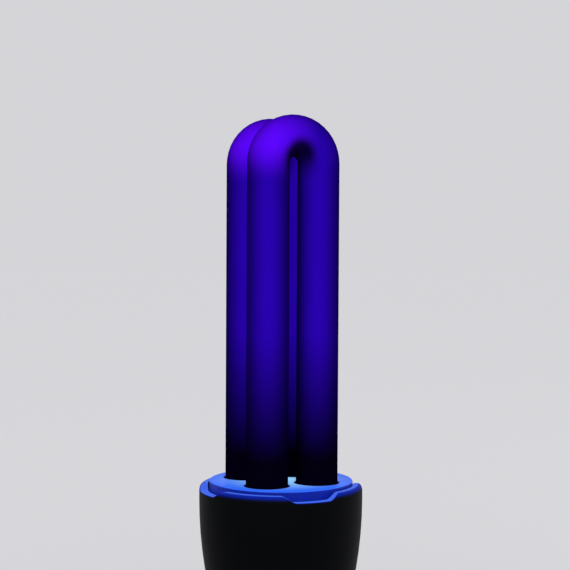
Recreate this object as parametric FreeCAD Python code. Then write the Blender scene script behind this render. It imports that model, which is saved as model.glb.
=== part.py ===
import FreeCAD, Part
import math
import os

Vec = FreeCAD.Vector

# A self-ballasted black light lamp: two U-bent glass tubes, a holder, a ballast housing and a screw cap.
# Millimetres and degrees. The origin is the tip of the centre contact, and +Z runs up to the bends.

# Glass discharge tube
tube_diameter = 12.0
leg_share = 0.5355           # circle through the legs' axes, as a share of the holder's size
leg_turn = 45.9              # place of the first leg on that circle, from +X
tube_height = 105.0          # top of the bends above the holder's top face
leg_depth = 14.0             # legs below the holder's top face
bridge_diameter = 4.6        # glass bridge between the two U's, inside the holder
bridge_depth = 9.0           # its axis below the holder's top face

# Tube holder
holder_plate = 2.0
holder_wall = 1.6
holder_depth = 11.0          # bottom of the skirt below the top face
holder_bevel = 0.4
hole_gap = 0.5               # between a glass leg and its hole, on the radius
cement_depth = 3.2
bond_gap = 0.05              # between the cement and what it holds
hook_reach = 0.8             # snap hooks beyond the skirt
hook_height = 2.2
hook_rise = 1.6              # hooks above the bottom of the skirt
hook_angle = 24.0
hook_count = 4
hook_turn = 45.0             # first hook from +X
hook_room = 0.3              # round a hook in its pocket

# Ballast housing
body_diameter = 47.3
housing_height = 43.0        # from the screw cap to the holder's top face
housing_wall = 1.8
rim_wall = 2.5               # the rim, round the holder
fit_gap = 0.35               # between the holder and the housing's rim, on the radius
tab_drop = 1.0               # tops of the rim's tabs below the holder's top face
tab_round = 1.8
notch_depth = 1.85
notch_top_width = 16.2
notch_floor_width = 11.0
notch_count = 4
barrel_round = 125.0
shoulder_diameter = 38.3
shoulder_height = 4.55       # corner of the shoulder above the screw cap
shoulder_round = 8.0
barrel_lean = 14.0
neck_diameter = 28.4
neck_height = 1.7
neck_round = 2.5
plug_length = 12.0           # the neck's plug inside the screw cap
plug_wall = 1.5
plug_gap = 0.15
wire_slot = 1.8

# Ribs inside the housing that carry the board and the holder
rib_count = 4
rib_width = 2.0
rib_height = 12.0
rib_ledge = 1.3              # how far a rib reaches under the board
board_inset = 1.45           # board's edge inside the housing's inner wall
board_gap = 0.3              # between the board's edge and the ribs

# Screw cap
cap_length = 27.0            # from the tip of the contact to the top of the shell
thread_diameter = 26.3       # over the crests of the rolled thread
thread_depth = 0.95
thread_pitch = 3.629
thread_crest = 0.9           # width of a turn at its crest
thread_foot = 2.7            # width of a turn at its root
thread_sink = 0.25           # how far the turns reach into the shell's wall
thread_clear = 1.5           # middle of the end turns from the heel and from the collar
collar_height = 3.0          # plain collar above the thread
collar_step = 0.35           # collar inside the crests
lip_height = 0.5             # lip at the top of the collar
shell_sheet = 0.5
shell_start = 4.6            # lower edge of the shell above the tip of the contact
shell_heel = 2.6             # height of the turned-in lower edge
shell_mouth_diameter = 19.0
insulator_tip_diameter = 12.4
insulator_base = 1.1         # lower face of the insulator above the tip of the contact
insulator_thickness = 5.4
insulator_bore = 2.2
contact_diameter = 9.6
contact_flat_diameter = 5.0
contact_thickness = 1.5
contact_crown = 0.8           # height of the crown that stands out of the insulator
contact_round = 0.7

# Ballast board and what stands on it
board_depth = 17.0           # its top face below the holder's top face
board_thickness = 1.6
wire_diameter = 1.0
choke_width = 14.0
choke_depth = 5.0
choke_height = 12.0
choke_leg = 2.5
choke_centre_leg = 4.0
choke_place = -8.8
bobbin_wall = 0.6
bobbin_flange = 1.0
bobbin_overhang = 3.2        # bobbin beyond the core, along Y
coil_gap = 0.1
smoothing_diameter = 10.0
smoothing_height = 13.0
smoothing_place = (8.6, -8.6)
can_bevel = 0.6
toroid_diameter = 9.0
toroid_bore = 5.0
toroid_height = 3.2
toroid_place = (8.5, 8.5)
transistor_size = (8.0, 2.7, 11.0)
transistor_place = (-3.0, 13.5)
film_edge = 0.8
film_gap = 0.95              # between the resonant and the coupling capacitor
resonant_size = (8.0, 4.0, 8.0)
coupling_size = (3.5, 7.0, 7.0)
coupling_inset = 1.45        # coupling capacitor inside the rib that carries the board
filter_size = (5.0, 3.0, 6.0)
filter_place = (4.6, 14.4)
diode_size = (2.6, 4.3, 2.3)
diode_places = ((-9.4, 10.6), (-12.8, 9.6), (-9.4, -10.6), (-12.8, -9.6))
trigger_diameter = 1.8
trigger_height = 3.6
trigger_place = (2.4, -13.0)
fuse_diameter = 2.6
fuse_height = 7.0
fuse_place = (4.6, -15.4)
pin_width = 0.8
pin_gap = 0.5                # between the tops of the pins and the feet of the legs
pin_inset = 1.9              # outermost pins inside the board's edge
lead_diameter = 0.6
lead_spread = 1.6            # leads of one leg, to either side of its axis
neutral_angle = 90.0

# Rounds: how far a turned band may lie from its arc, and how much of a side its two rounds may take
band_sag = 0.15
side_share = 0.98

# Worked out from the sizes above
tube_r = tube_diameter / 2
holder_top = cap_length + housing_height
body_r = body_diameter / 2
rim_inner_r = body_r - rim_wall
holder_r = rim_inner_r - fit_gap
skirt_inner_r = holder_r - holder_wall
skirt_bottom = holder_top - holder_depth
leg_bottom = holder_top - leg_depth
leg_circle_r = leg_share * holder_r
leg_pitch = 2 * leg_circle_r * math.cos(math.radians(leg_turn))    # the two legs of one U, along X
u_pitch = 2 * leg_circle_r * math.sin(math.radians(leg_turn))      # the two U's, along Y
bend_r = leg_pitch / 2
leg_places = [(sx * leg_pitch / 2, sy * u_pitch / 2) for sx in (-1, 1) for sy in (-1, 1)]
tab_top = holder_top - tab_drop
shoulder_r = shoulder_diameter / 2
shoulder_z = cap_length + shoulder_height
barrel_z = shoulder_z + (body_r - shoulder_r) / math.tan(math.radians(barrel_lean))
inner_shoulder_r = shoulder_r - housing_wall
inner_shoulder_z = shoulder_z + housing_wall
shell_inner_r = thread_diameter / 2 - thread_depth - shell_sheet
plug_r = shell_inner_r - plug_gap
plug_inner_r = plug_r - plug_wall
board_top = holder_top - board_depth
board_bottom = board_top - board_thickness
cavity_slope = (rim_inner_r - inner_shoulder_r) / (barrel_z - inner_shoulder_z)
cavity_r = min(rim_inner_r, inner_shoulder_r + (board_bottom - inner_shoulder_z) * cavity_slope)
board_r = cavity_r - board_inset
board_seat_r = board_r - rib_ledge
coupling_x = board_seat_r - coupling_inset - coupling_size[0] / 2
resonant_x = coupling_x - coupling_size[0] / 2 - film_gap - resonant_size[0] / 2
pin_height = leg_bottom - pin_gap - board_top
pin_x = -math.sqrt((board_r - pin_inset) ** 2 - (u_pitch / 2 + lead_spread) ** 2)
hook_bottom = skirt_bottom + hook_rise


def rounded_outline(corners):
    """Closed wire in the XZ plane through (radius, height, round) corners.

    A round is turned as straight bands within band_sag of its arc, and gives way on a side that is too short.
    """
    points = [Vec(r, 0, z) for r, z, _ in corners]
    count = len(points)
    arms = []
    reach = []
    for i, (_, _, fillet) in enumerate(corners):
        back = (points[i - 1] - points[i]).normalize()
        ahead = (points[(i + 1) % count] - points[i]).normalize()
        half = back.getAngle(ahead) / 2
        arms.append((back, ahead, half))
        reach.append(fillet / math.tan(half))
    share = [1.0] * count
    for i in range(count):
        j = (i + 1) % count
        wanted = reach[i] + reach[j]
        room = side_share * points[i].distanceToPoint(points[j])
        if wanted > room:
            share[i] = min(share[i], room / wanted)
            share[j] = min(share[j], room / wanted)
    path = []
    for corner, run_out, part, (back, ahead, half) in zip(points, reach, share, arms):
        run = run_out * part
        if not run:
            path.append(corner)
            continue
        radius = run * math.tan(half)
        centre = corner + (back + ahead).normalize() * (radius / math.sin(half))
        start = corner + back * run - centre
        end = corner + ahead * run - centre
        turn = start.getAngle(end)
        bands = math.ceil(turn / (2 * math.acos(max(1 - band_sag / radius, 0))))
        for k in range(bands + 1):
            early = math.sin(turn * (1 - k / bands)) / math.sin(turn)
            late = math.sin(turn * k / bands) / math.sin(turn)
            path.append(centre + start * early + end * late)
    return Part.makePolygon(path + path[:1])


def turned(corners, start=0.0, sweep=360.0):
    """Solid of revolution about Z of a rounded outline, from one angle through a sweep."""
    solid = Part.Face(rounded_outline(corners)).revolve(Vec(0, 0, 0), Vec(0, 0, 1), sweep)
    solid.rotate(Vec(0, 0, 0), Vec(0, 0, 1), start)
    return solid


def post(x, y, diameter, bottom, height):
    """Upright cylinder."""
    return Part.makeCylinder(diameter / 2, height, Vec(x, y, bottom))


def block(x, y, size, bottom):
    """Upright block centred on x, y."""
    return Part.makeBox(size[0], size[1], size[2], Vec(x - size[0] / 2, y - size[1] / 2, bottom))


def upright_edges(solid):
    return [e for e in solid.Edges if len(e.Vertexes) == 2 and abs(e.tangentAt(e.FirstParameter).z) > 0.99]


def around(shape, count, first=0.0):
    """Copies of a shape at equal angles about Z."""
    copies = []
    for i in range(count):
        copy = shape.copy()
        copy.rotate(Vec(0, 0, 0), Vec(0, 0, 1), first + i * 360.0 / count)
        copies.append(copy)
    return copies


def discharge_tube():
    """Two U-bent tubes and the bridge between them: one sealed glass vessel."""
    bend_z = holder_top + tube_height - tube_r - bend_r
    vessel = []
    for y in (-u_pitch / 2, u_pitch / 2):
        left_foot, left_top = Vec(-bend_r, y, leg_bottom), Vec(-bend_r, y, bend_z)
        right_foot, right_top = Vec(bend_r, y, leg_bottom), Vec(bend_r, y, bend_z)
        path = Part.Wire([
            Part.LineSegment(left_foot, left_top).toShape(),
            Part.Arc(left_top, Vec(0, y, bend_z + bend_r), right_top).toShape(),
            Part.LineSegment(right_top, right_foot).toShape(),
        ])
        section = Part.Wire(Part.makeCircle(tube_r, left_foot, Vec(0, 0, 1)))
        vessel.append(path.makePipeShell([section], True, True))
    bridge_z = holder_top - bridge_depth
    bridge_start = Vec(bend_r, -u_pitch / 2, bridge_z)
    bridge = Part.makeCylinder(bridge_diameter / 2, u_pitch, bridge_start, Vec(0, 1, 0))
    return vessel[0].fuse([vessel[1], bridge]).removeSplitter()


def leg_holes(radius, bottom, height):
    return [Part.makeCylinder(radius, height, Vec(x, y, bottom)) for x, y in leg_places]


def tube_holder():
    """Cap with four holes for the legs, a skirt that plugs into the housing and four snap hooks."""
    plate_bottom = holder_top - holder_plate
    cup = turned([
        (0, holder_top, 0),
        (holder_r - holder_bevel, holder_top, 0),
        (holder_r, holder_top - holder_bevel, 0),
        (holder_r, skirt_bottom, 0),
        (skirt_inner_r, skirt_bottom, 0),
        (skirt_inner_r, plate_bottom, 0),
        (0, plate_bottom, 0),
    ])
    hook = turned([
        (holder_r - holder_wall / 2, hook_bottom, 0),
        (holder_r, hook_bottom, 0),
        (holder_r + hook_reach, hook_bottom + hook_height - hook_reach, 0),
        (holder_r + hook_reach, hook_bottom + hook_height, 0),
        (holder_r - holder_wall / 2, hook_bottom + hook_height, 0),
    ], -hook_angle / 2, hook_angle)
    cup = cup.fuse(around(hook, hook_count, hook_turn))
    return cup.cut(leg_holes(tube_r + hole_gap, plate_bottom, holder_plate)).removeSplitter()


def tube_cement():
    """Cement poured round the legs under the holder's plate, out to the skirt."""
    bottom = holder_top - holder_plate - cement_depth
    pool = post(0, 0, 2 * (skirt_inner_r - bond_gap), bottom, cement_depth)
    return pool.cut(leg_holes(tube_r + bond_gap, bottom, cement_depth))


def housing_outer():
    """Outer corners of the housing, from the inner edge of its rim down to the screw cap."""
    return [
        (rim_inner_r, tab_top, 0),
        (body_r, tab_top, tab_round),
        (body_r, barrel_z, barrel_round),
        (shoulder_r, shoulder_z, shoulder_round),
        (neck_diameter / 2, cap_length + neck_height, neck_round),
        (neck_diameter / 2, cap_length, 0),
    ]


def ballast_housing():
    """Moulded housing: castellated rim, barrel, shoulder, neck plug, board ribs and pockets for the hooks."""
    outer = housing_outer()
    neck_r, neck_z, _ = outer[4]
    plug_bottom = cap_length - plug_length
    cone_slope = (shoulder_z - neck_z) / (shoulder_r - neck_r)
    throat_z = inner_shoulder_z - (inner_shoulder_r - plug_inner_r) * cone_slope
    shell = turned(outer + [
        (plug_r, cap_length, 0),
        (plug_r, plug_bottom, 0),
        (plug_inner_r, plug_bottom, 0),
        (plug_inner_r, throat_z, 0),
        (inner_shoulder_r, inner_shoulder_z, 0),
        (rim_inner_r, barrel_z, 0),
    ])
    skin = turned(outer[1:] + [(0, cap_length, 0), (0, tab_top, 0)])
    ribs = []
    step_r = board_r + board_gap
    for seat_r, top in ((board_seat_r, board_bottom), (step_r, skirt_bottom)):
        bottom = board_bottom - rib_height
        rib = Part.makeBox(body_r - seat_r, rib_width, top - bottom, Vec(seat_r, -rib_width / 2, bottom))
        ribs.extend(around(rib.common(skin), rib_count))
    shell = shell.fuse(ribs)
    pocket = turned([
        (rim_inner_r - fit_gap / 2, hook_bottom - hook_room, 0),
        (holder_r + hook_reach + hook_room, hook_bottom - hook_room, 0),
        (holder_r + hook_reach + hook_room, hook_bottom + hook_height + hook_room, 0),
        (rim_inner_r - fit_gap / 2, hook_bottom + hook_height + hook_room, 0),
    ], -hook_angle / 2 - hook_room, hook_angle + 2 * hook_room)
    slot_height = throat_z + wire_slot - plug_bottom
    slot = Part.makeBox(shell_inner_r + plug_gap, wire_slot, slot_height, Vec(0, -wire_slot / 2, plug_bottom))
    slot.rotate(Vec(0, 0, 0), Vec(0, 0, 1), neutral_angle)
    shell = shell.cut(around(pocket, hook_count, hook_turn) + [slot] + rim_notches())
    return shell.removeSplitter()


def rim_notches():
    """Wedge-sided cutters for the notches between the rim's tabs, one to each side of the U's."""
    floor = tab_top - notch_depth
    flare = (notch_top_width - notch_floor_width) / 2 / notch_depth
    over = tab_round
    top_half = notch_top_width / 2 + flare * over
    floor_half = notch_floor_width / 2
    inner = skirt_inner_r
    outline = Part.makePolygon([
        Vec(inner, -floor_half, floor),
        Vec(inner, floor_half, floor),
        Vec(inner, top_half, tab_top + over),
        Vec(inner, -top_half, tab_top + over),
        Vec(inner, -floor_half, floor),
    ])
    wedge = Part.Face(outline).extrude(Vec(body_r + over - inner, 0, 0))
    return around(wedge, notch_count)


def screw_shell():
    """Sheet-metal screw shell with a rolled thread, a collar with a lip, and a turned-in lower edge."""
    thread_r = thread_diameter / 2
    root_r = thread_r - thread_depth
    collar_r = thread_r - collar_step
    collar_bottom = cap_length - collar_height
    thread_top = collar_bottom - (collar_r - root_r)
    heel_top = shell_start + shell_heel
    mouth_r = shell_mouth_diameter / 2
    sleeve = turned([
        (shell_inner_r, cap_length, 0),
        (thread_r, cap_length, 0),
        (thread_r, cap_length - lip_height, 0),
        (collar_r, cap_length - lip_height, 0),
        (collar_r, collar_bottom, 0),
        (root_r, thread_top, 0),
        (root_r, heel_top, 0),
        (mouth_r, shell_start, 0),
        (mouth_r - shell_sheet, shell_start + shell_sheet, 0),
        (shell_inner_r, heel_top, 0),
    ])
    turns = thread_turns(root_r, heel_top + thread_clear, thread_top - thread_clear)
    return sleeve.fuse(turns).removeSplitter()


def thread_turns(root_r, start, end):
    """Right-hand turns of the thread between two heights, with flat flanks that reach into the wall."""
    helix = Part.makeHelix(thread_pitch, end - start, root_r)
    helix.translate(Vec(0, 0, start))
    flank = (thread_foot - thread_crest) / 2 / thread_depth
    half_foot = thread_foot / 2 + flank * thread_sink
    section = Part.makePolygon([
        Vec(root_r - thread_sink, 0, start - half_foot),
        Vec(root_r + thread_depth, 0, start - thread_crest / 2),
        Vec(root_r + thread_depth, 0, start + thread_crest / 2),
        Vec(root_r - thread_sink, 0, start + half_foot),
        Vec(root_r - thread_sink, 0, start - half_foot),
    ])
    return Part.Wire(helix.Edges).makePipeShell([section], True, True)


def cap_insulator():
    """Cone of insulating glass between the shell's lower edge and the centre contact."""
    mouth_r = shell_mouth_diameter / 2 - shell_sheet
    seat_z = shell_start + shell_sheet
    top = insulator_base + insulator_thickness
    heel_slope = (shell_inner_r - mouth_r) / (shell_heel - shell_sheet)
    lip_r = min(mouth_r + (top - seat_z) * heel_slope, shell_inner_r) - bond_gap
    cone = turned([
        (insulator_bore / 2, insulator_base, 0),
        (insulator_tip_diameter / 2, insulator_base, 0),
        (mouth_r - bond_gap, shell_start, 0),
        (mouth_r - bond_gap, seat_z, 0),
        (lip_r, top, 0),
        (insulator_bore / 2, top, 0),
    ])
    return cone.cut(Part.makeCylinder(contact_diameter / 2, contact_thickness))


def centre_contact():
    """Pressed contact button, seated in the insulator, flat at its tip."""
    flat_r = contact_flat_diameter / 2
    edge_r = contact_diameter / 2
    return turned([
        (0, 0, 0),
        (flat_r, 0, contact_round),
        (edge_r, contact_crown, contact_round),
        (edge_r, contact_thickness, 0),
        (0, contact_thickness, 0),
    ])


def circuit_board():
    return Part.makeCylinder(board_r, board_thickness, Vec(0, 0, board_bottom))


def hung(solid_height):
    """Height of the bottom of a component that hangs from the board's underside."""
    return board_bottom - solid_height


def choke_core():
    """Two E halves of ferrite, face to face: a frame with a centre leg."""
    bottom = hung(choke_height)
    frame = block(choke_place, 0, (choke_width, choke_depth, choke_height), bottom)
    window = (choke_width - 2 * choke_leg - choke_centre_leg) / 2
    offset = (choke_centre_leg + window) / 2
    opening = (window, choke_depth, choke_height - 2 * choke_leg)
    cuts = [block(choke_place + side * offset, 0, opening, bottom + choke_leg) for side in (-1, 1)]
    return frame.cut(cuts)


def bobbin_sizes():
    window = (choke_width - 2 * choke_leg - choke_centre_leg) / 2
    tall = choke_height - 2 * choke_leg - 2 * coil_gap
    outer = (choke_centre_leg + 2 * (window - coil_gap), choke_depth + 2 * bobbin_overhang, tall)
    hole = (choke_centre_leg + 2 * coil_gap, choke_depth + 2 * coil_gap, tall)
    drum = (hole[0] + 2 * bobbin_wall, hole[1] + 2 * bobbin_wall, tall)
    return outer, hole, drum, hung(choke_height) + choke_leg + coil_gap


def choke_bobbin():
    """Moulded bobbin round the choke's centre leg, with a flange at each end."""
    outer, hole, drum, bottom = bobbin_sizes()
    flange = (outer[0], outer[1], bobbin_flange)
    body = block(choke_place, 0, drum, bottom).fuse([
        block(choke_place, 0, flange, bottom),
        block(choke_place, 0, flange, bottom + outer[2] - bobbin_flange),
    ])
    return body.cut(block(choke_place, 0, hole, bottom)).removeSplitter()


def choke_winding():
    """Copper winding that fills the bobbin between its flanges."""
    outer, _, drum, bottom = bobbin_sizes()
    tall = outer[2] - 2 * bobbin_flange
    coil = block(choke_place, 0, (outer[0] - coil_gap, outer[1] - 4 * coil_gap, tall), bottom + bobbin_flange)
    coil = coil.makeChamfer(film_edge, upright_edges(coil))
    return coil.cut(block(choke_place, 0, (drum[0], drum[1], tall), bottom + bobbin_flange))


def smoothing_capacitor():
    """Electrolytic can with a bevelled end."""
    r = smoothing_diameter / 2
    bottom = hung(smoothing_height)
    can = turned([
        (0, bottom, 0),
        (r - can_bevel, bottom, 0),
        (r, bottom + can_bevel, 0),
        (r, board_bottom, 0),
        (0, board_bottom, 0),
    ])
    can.translate(Vec(smoothing_place[0], smoothing_place[1], 0))
    return can


def drive_toroid():
    """Small ferrite ring that drives the two transistors."""
    x, y = toroid_place
    bottom = hung(toroid_height)
    ring = post(x, y, toroid_diameter, bottom, toroid_height)
    return ring.cut(post(x, y, toroid_bore, bottom, toroid_height))


def transistor(side):
    """Flat power transistor standing on the board, bevelled along one face."""
    x, y = transistor_place[0], side * transistor_place[1]
    body = block(x, y, transistor_size, hung(transistor_size[2]))
    outer = [e for e in upright_edges(body) if abs(e.CenterOfMass.y) > abs(y)]
    return body.makeChamfer(film_edge, outer)


def film_capacitor(place, size):
    """Dipped film capacitor with bevelled edges."""
    body = block(place[0], place[1], size, hung(size[2]))
    return body.makeChamfer(film_edge, upright_edges(body))


def leg_leads():
    """Where each electrode lead leaves a leg that the bridge doesn't join: x, y."""
    centres = (u_pitch / 2, -u_pitch / 2)
    return [(-bend_r, centre + spread) for centre in centres for spread in (-lead_spread, lead_spread)]


def wrap_pin(y):
    """Square pin that an electrode lead is wrapped on."""
    return block(pin_x, y, (pin_width, pin_width, pin_height), board_top)


def electrode_lead(x, y):
    """Taut wire from the foot of a leg across to its pin."""
    radius = lead_diameter / 2
    foot = Vec(x, y, leg_bottom - radius)
    pin_face = Vec(pin_x + pin_width / 2, y, board_top + pin_height / 2)
    slope = pin_face - foot
    rise = slope.z / slope.x
    sink = radius * math.sqrt(1 + rise ** 2) - radius
    foot.z -= sink
    pin_face.x += radius * abs(rise)
    slope = pin_face - foot
    return Part.makeCylinder(radius, slope.Length, foot, slope)


def live_wire():
    """Straight wire on the axis from the board to the centre contact."""
    return post(0, 0, wire_diameter, contact_thickness, board_bottom - contact_thickness)


def neutral_wire():
    """Straight wire from the board through the slot in the neck's plug to the inside of the screw shell."""
    r = shell_inner_r - wire_diameter / 2 - bond_gap
    turn = math.radians(neutral_angle)
    bottom = (shell_start + shell_heel + cap_length - plug_length) / 2
    return post(r * math.cos(turn), r * math.sin(turn), wire_diameter, bottom, board_bottom - bottom)


def pieces():
    """Every piece of the lamp, by name."""
    made = {
        "discharge_tube": discharge_tube(),
        "tube_holder": tube_holder(),
        "tube_cement": tube_cement(),
        "ballast_housing": ballast_housing(),
        "screw_shell": screw_shell(),
        "cap_insulator": cap_insulator(),
        "centre_contact": centre_contact(),
        "circuit_board": circuit_board(),
        "choke_core": choke_core(),
        "choke_bobbin": choke_bobbin(),
        "choke_winding": choke_winding(),
        "smoothing_capacitor": smoothing_capacitor(),
        "drive_toroid": drive_toroid(),
        "resonant_capacitor": film_capacitor((resonant_x, 0), resonant_size),
        "coupling_capacitor": film_capacitor((coupling_x, 0), coupling_size),
        "filter_capacitor": film_capacitor(filter_place, filter_size),
        "trigger_diode": post(*trigger_place, trigger_diameter, hung(trigger_height), trigger_height),
        "fuse_resistor": post(*fuse_place, fuse_diameter, hung(fuse_height), fuse_height),
        "live_wire": live_wire(),
        "neutral_wire": neutral_wire(),
    }
    for number, side in enumerate((1, -1), 1):
        made[f"transistor_{number}"] = transistor(side)
    for number, (x, y) in enumerate(diode_places, 1):
        made[f"rectifier_diode_{number}"] = block(x, y, diode_size, hung(diode_size[2]))
    for number, (x, y) in enumerate(leg_leads(), 1):
        made[f"electrode_lead_{number}"] = electrode_lead(x, y)
        made[f"wrap_pin_{number}"] = wrap_pin(y)
    return made


os.makedirs("parts", exist_ok=True)
for name, shape in pieces().items():
    shape.exportStep(f"parts/{name}.step")
    print(name, "valid" if shape.isValid() else "INVALID", len(shape.Solids), round(shape.Volume, 2))
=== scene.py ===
import math

import bmesh
import bpy
from bpy.props import FloatProperty, FloatVectorProperty, IntProperty, PointerProperty
from bpy.types import Operator, Panel, PropertyGroup
from mathutils import Matrix, Vector


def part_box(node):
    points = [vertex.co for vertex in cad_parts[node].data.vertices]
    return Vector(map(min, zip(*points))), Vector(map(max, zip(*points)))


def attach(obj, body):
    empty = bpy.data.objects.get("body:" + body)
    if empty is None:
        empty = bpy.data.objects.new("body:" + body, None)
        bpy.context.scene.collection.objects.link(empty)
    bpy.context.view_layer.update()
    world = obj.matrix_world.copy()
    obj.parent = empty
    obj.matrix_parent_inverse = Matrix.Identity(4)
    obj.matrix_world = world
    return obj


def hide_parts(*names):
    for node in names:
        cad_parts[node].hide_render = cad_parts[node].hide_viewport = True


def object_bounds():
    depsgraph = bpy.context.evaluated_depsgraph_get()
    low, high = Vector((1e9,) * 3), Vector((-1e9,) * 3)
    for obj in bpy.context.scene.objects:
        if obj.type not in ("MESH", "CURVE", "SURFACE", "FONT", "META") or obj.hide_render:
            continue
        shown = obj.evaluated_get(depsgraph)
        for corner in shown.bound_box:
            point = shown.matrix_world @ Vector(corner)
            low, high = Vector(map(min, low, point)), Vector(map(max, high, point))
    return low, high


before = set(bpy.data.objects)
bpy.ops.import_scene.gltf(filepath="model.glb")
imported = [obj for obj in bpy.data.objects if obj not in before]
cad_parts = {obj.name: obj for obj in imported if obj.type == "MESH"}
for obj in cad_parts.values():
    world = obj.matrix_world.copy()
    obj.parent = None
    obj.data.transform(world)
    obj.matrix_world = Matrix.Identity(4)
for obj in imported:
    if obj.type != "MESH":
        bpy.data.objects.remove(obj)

bl_info = {
    "name": "Black light lamp",
    "version": (1, 0, 0),
    "blender": (4, 5, 0),
    "location": "View3D > Sidebar > Lamp",
    "description": "Dresses a black light lamp with two U-bent tubes, a ballast housing and a screw cap",
    "category": "Object",
}

MM = 0.001
# Between the two rings of points at a sharp step.
STEP = 0.02 * MM
# Part of a straight side that the rounds at its two ends may take.
SIDE_SHARE = 0.98
# How far a cutter stands out of what it cuts.
OVERLAP = 1 * MM
BLACK = (0.0, 0.0, 0.0)

cad_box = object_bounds()
tube_low, tube_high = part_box("discharge_tube")
holder_low, holder_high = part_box("tube_holder")
housing_low, housing_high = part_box("ballast_housing")
shell_low, shell_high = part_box("screw_shell")
insulator_low, insulator_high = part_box("cap_insulator")
contact_low, contact_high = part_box("centre_contact")
board_low, board_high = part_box("circuit_board")
neutral_low, neutral_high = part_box("neutral_wire")


def shown(red, green, blue):
    """Linear colour of one given as it is shown, in steps of 255."""
    parts = [step / 255 for step in (red, green, blue)]
    return tuple(p / 12.92 if p <= 0.04045 else ((p + 0.055) / 1.055) ** 2.4 for p in parts)


def shade(tone, part):
    """Darker or lighter tone of a colour."""
    return tuple(part * step for step in tone)


def length(label, text, size):
    return FloatProperty(name=label, description=text, default=size, unit="LENGTH", precision=5)


def angle(label, text, degrees):
    return FloatProperty(name=label, description=text, default=math.radians(degrees), subtype="ANGLE")


def number(label, text, amount):
    return FloatProperty(name=label, description=text, default=amount)


def share(label, text, amount):
    return FloatProperty(
        name=label, description=text, default=amount, min=0.0, soft_max=1.0, subtype="FACTOR")


def spot(label, text, place):
    return FloatVectorProperty(name=label, description=text, default=place, size=3, subtype="TRANSLATION")


def colour(label, text, value):
    return FloatVectorProperty(name=label, description=text, default=value, size=3, min=0.0, subtype="COLOR")


def count(label, text, amount):
    return IntProperty(name=label, description=text, default=amount, min=3)


class TubeSettings(PropertyGroup):
    diameter: length("Diameter", "Outside diameter of the glass tube", 12 * MM)
    bridge_diameter: length("Bridge diameter", "Glass bridge between the two U's", 4.6 * MM)
    bridge_rise: length("Bridge rise", "Axis of the bridge above the feet of the legs", 5 * MM)
    points: count("Points", "Rings of points along one U", 200)
    sides: count("Sides", "Sides round the tube", 64)
    glow: colour("Glow", "Light of the tube along its legs", shown(40, 2, 174))
    bend_glow: colour("Bend glow", "Light at the brighter side of the bends", (0.115, 0.002, 1.06))
    unlit: colour("Unlit glass", "Dark violet glass at the ends of the legs", shown(4, 1, 15))
    dark_end: length("Dark end", "Height above the holder at which the glow starts", 7 * MM)
    full_glow: length("Full glow", "Height above the holder at which the glow is full", 43 * MM)
    rise_curve: number("Rise curve", "Power by which the glow rises to full", 1.3)
    bend_fade: length("Bend fade", "Height over which a leg turns into the brighter bend", 6 * MM)
    bright_side: share("Bright side", "Where a bend starts to brighten, as a part of its radius", 0.7)
    # Painted shade: the crook sizes darken the glow and the colour on the inner side of each bend, between
    # the legs.
    crook_edge: length("Crook edge", "Dark inner side of a bend, past its middle line at the top", 0.6 * MM)
    crook_narrow: length("Crook narrow", "How much narrower the dark side is next to the legs", 2.04 * MM)
    crook_fade: length("Crook fade", "Width over which the dark side fades", 3.6 * MM)
    crook_height: length("Crook height", "Height above the bend's centre at which it is darkest", 3 * MM)
    crook_shade_depth: share("Crook dark", "How dark the inner side of a bend is", 0.95)
    leg_dimming: number("Leg dimming", "How fast a leg dims where it is seen at a slant", 3.4)
    bend_dimming: number("Bend dimming", "How fast a bend dims where it is seen at a slant", 1.1)
    # The rest of the glow is painted into the tube's base colour as painted light.
    glow_share: share("Glow share", "Part of the colour that the tube gives as light of its own", 0.76)
    roughness: share("Roughness", "Roughness of the glass", 0.2)


class HolderSettings(PropertyGroup):
    wall: length("Wall", "Thickness of the skirt", 1.6 * MM)
    plate: length("Plate", "Thickness of the plate", 2 * MM)
    hook_reach: length("Hook reach", "How far the snap hooks stand out of the skirt", 0.8 * MM)
    hook_height: length("Hook height", "Height of a snap hook", 2.2 * MM)
    hook_rise: length("Hook rise", "Snap hooks above the bottom of the skirt", 1.6 * MM)
    hook_angle: angle("Hook angle", "Part of the turn that a snap hook takes", 24)
    hole_gap: length("Hole gap", "Between a leg and its hole", 0.5 * MM)
    edge: length("Edge", "Round along the rim and the holes", 0.4 * MM)
    sides: count("Sides", "Sides round the holder", 240)
    hole_sides: count("Hole sides", "Sides round a hole", 96)
    lip_steps: count("Lip steps", "Points over the round of a hole", 8)
    # Painted light: blue of the tubes' light, painted into the plastic's colour and glow.
    blue: colour("Blue", "Plastic that the tubes make glow blue", shown(44, 104, 246))
    # Painted light: paler blue where the tubes' light pools between the legs.
    middle: colour("Middle", "Paler blue between the legs", shown(150, 208, 255))
    # Painted shade: deeper blue on the skirt, which gets less of the tubes' light.
    side: colour("Side", "Deeper blue of the skirt", shown(2, 26, 135))
    # Painted light: these three set how the painted pool of light grows towards the middle.
    lit_pool_from: share("Pale from", "Where the disc starts to get paler, as a part of its radius", 0.98)
    lit_pool_to: share("Pale to", "Where the disc is palest, as a part of its radius", 0.1)
    lit_pool_curve: number("Pale curve", "Power by which the disc gets paler towards its middle", 1.6)
    # Painted glow: the next two give the part of the painted blue, and of the middle's, that is light of its
    # own.
    glow_share: share("Glow share", "Part of the colour that the plastic gives as light of its own", 0.4)
    middle_painted_glow: share("Middle glow", "Part of the middle's colour that is light of its own", 0.85)
    roughness: share("Roughness", "Roughness of the plastic", 0.45)


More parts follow.
